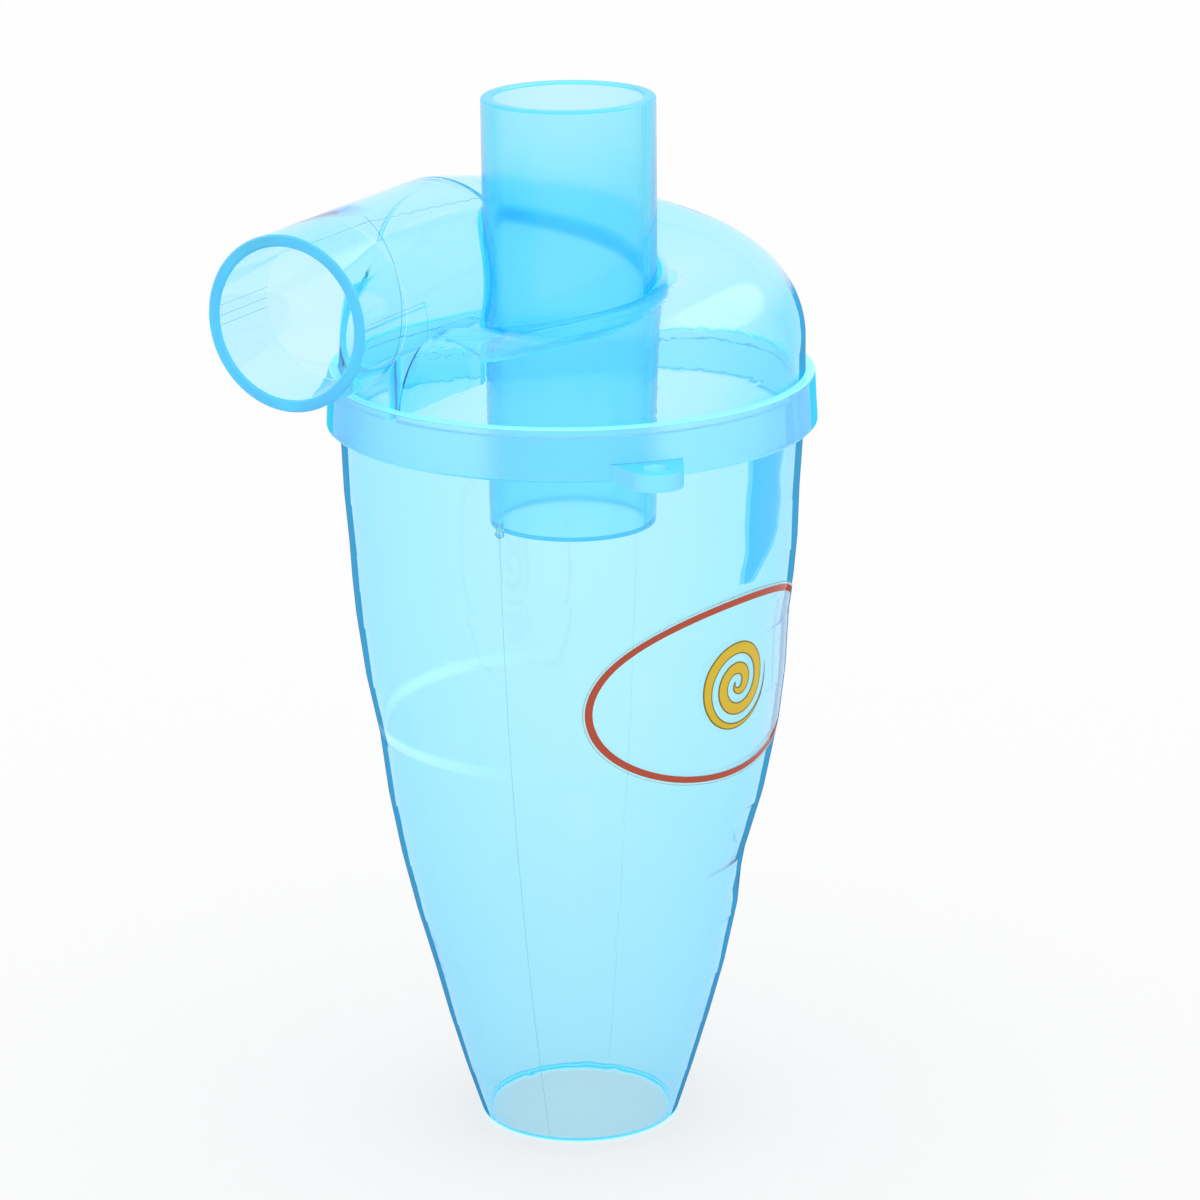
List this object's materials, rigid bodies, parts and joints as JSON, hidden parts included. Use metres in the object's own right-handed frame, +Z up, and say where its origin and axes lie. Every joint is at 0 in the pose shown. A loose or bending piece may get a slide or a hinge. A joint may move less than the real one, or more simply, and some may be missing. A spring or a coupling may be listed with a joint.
{
  "type": "cyclone dust separator",
  "caption": "Clear blue cyclone dust separator: tangential inlet in a helical cover, central outlet tube, barrel-shaped cone with a collar and a fixing lug.",
  "frame": {"origin": "centre of the dust outlet's rim, on the cyclone axis", "axes": "+Z up the cyclone axis to the air outlet, the inlet's axis along Y with its mouth towards -Y on the -X side"},
  "size_m": [0.1424, 0.1586, 0.3095],
  "materials": {
    "cone_plastic": "clear light blue, glossy, with faint moulding lines",
    "cover_plastic": "clear light blue, glossy",
    "tube_plastic": "clear deeper blue, glossy",
    "label_film": "clear film with a thin oval border"
  },
  "bodies": {
    "root": {"cone_body": "cone_plastic", "volute_cover": "cover_plastic", "outlet_tube": "tube_plastic", "label": "label_film"}
  },
  "joints": []
}
